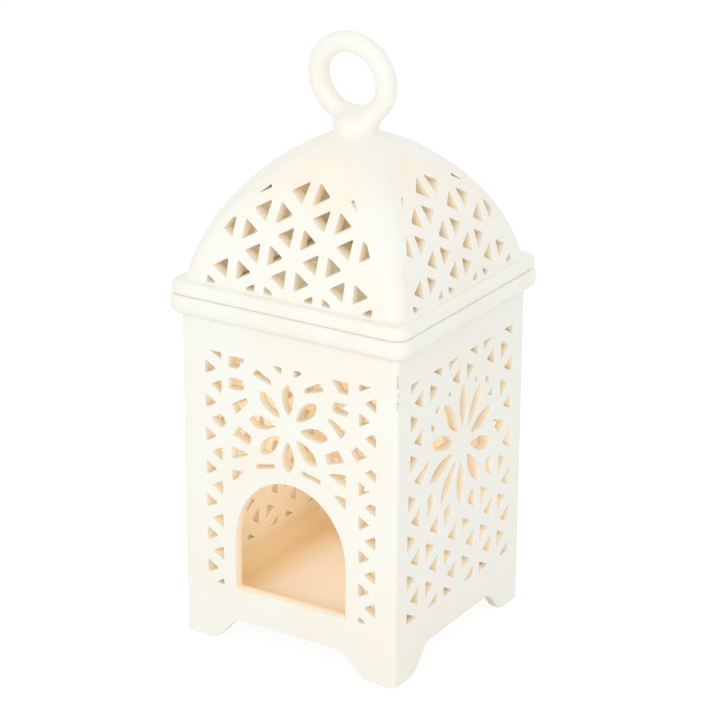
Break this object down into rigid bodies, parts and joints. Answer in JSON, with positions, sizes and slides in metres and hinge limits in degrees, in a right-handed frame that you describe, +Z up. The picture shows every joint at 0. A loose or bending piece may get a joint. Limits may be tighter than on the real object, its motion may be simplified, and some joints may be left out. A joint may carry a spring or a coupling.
{
  "type": "lantern oil burner",
  "caption": "Square lantern-shaped ceramic oil burner with pierced walls, arched door, hanging oil dish and vaulted pierced lid with a lifting ring.",
  "frame": {"origin": "on the table, under the middle of the four feet", "axes": "+Z up through the lifting ring; -Y towards the arched door; +X to the right as seen from the door"},
  "size_m": [0.0998, 0.0998, 0.227],
  "materials": {
    "body_glaze": "satin cream glaze over warm white earthenware",
    "dish_glaze": "glossy cream glaze that holds oil",
    "lid_glaze": "satin cream glaze over warm white earthenware"
  },
  "bodies": {
    "burner_body": {"front_wall": "body_glaze", "right_wall": "body_glaze", "back_wall": "body_glaze", "left_wall": "body_glaze", "chamber_floor": "body_glaze", "body_rim": "body_glaze"},
    "dish": {"oil_dish": "dish_glaze"},
    "lid": {"lid_rim": "lid_glaze", "lid_front_panel": "lid_glaze", "lid_right_panel": "lid_glaze", "lid_back_panel": "lid_glaze", "lid_left_panel": "lid_glaze", "lid_neck": "lid_glaze", "lifting_ring": "lid_glaze"}
  },
  "joints": [
    {"name": "lid_lift", "type": "slide", "parent": "burner_body", "child": "lid", "axis": [0, 0, 1], "range_m": [0, 0.12]},
    {"name": "dish_lift", "type": "slide", "parent": "burner_body", "child": "dish", "axis": [0, 0, 1], "range_m": [0, 0.048]}
  ],
  "couplings": [
    {"joint": "dish_lift", "follows": "lid_lift", "ratio": 0.4}
  ]
}
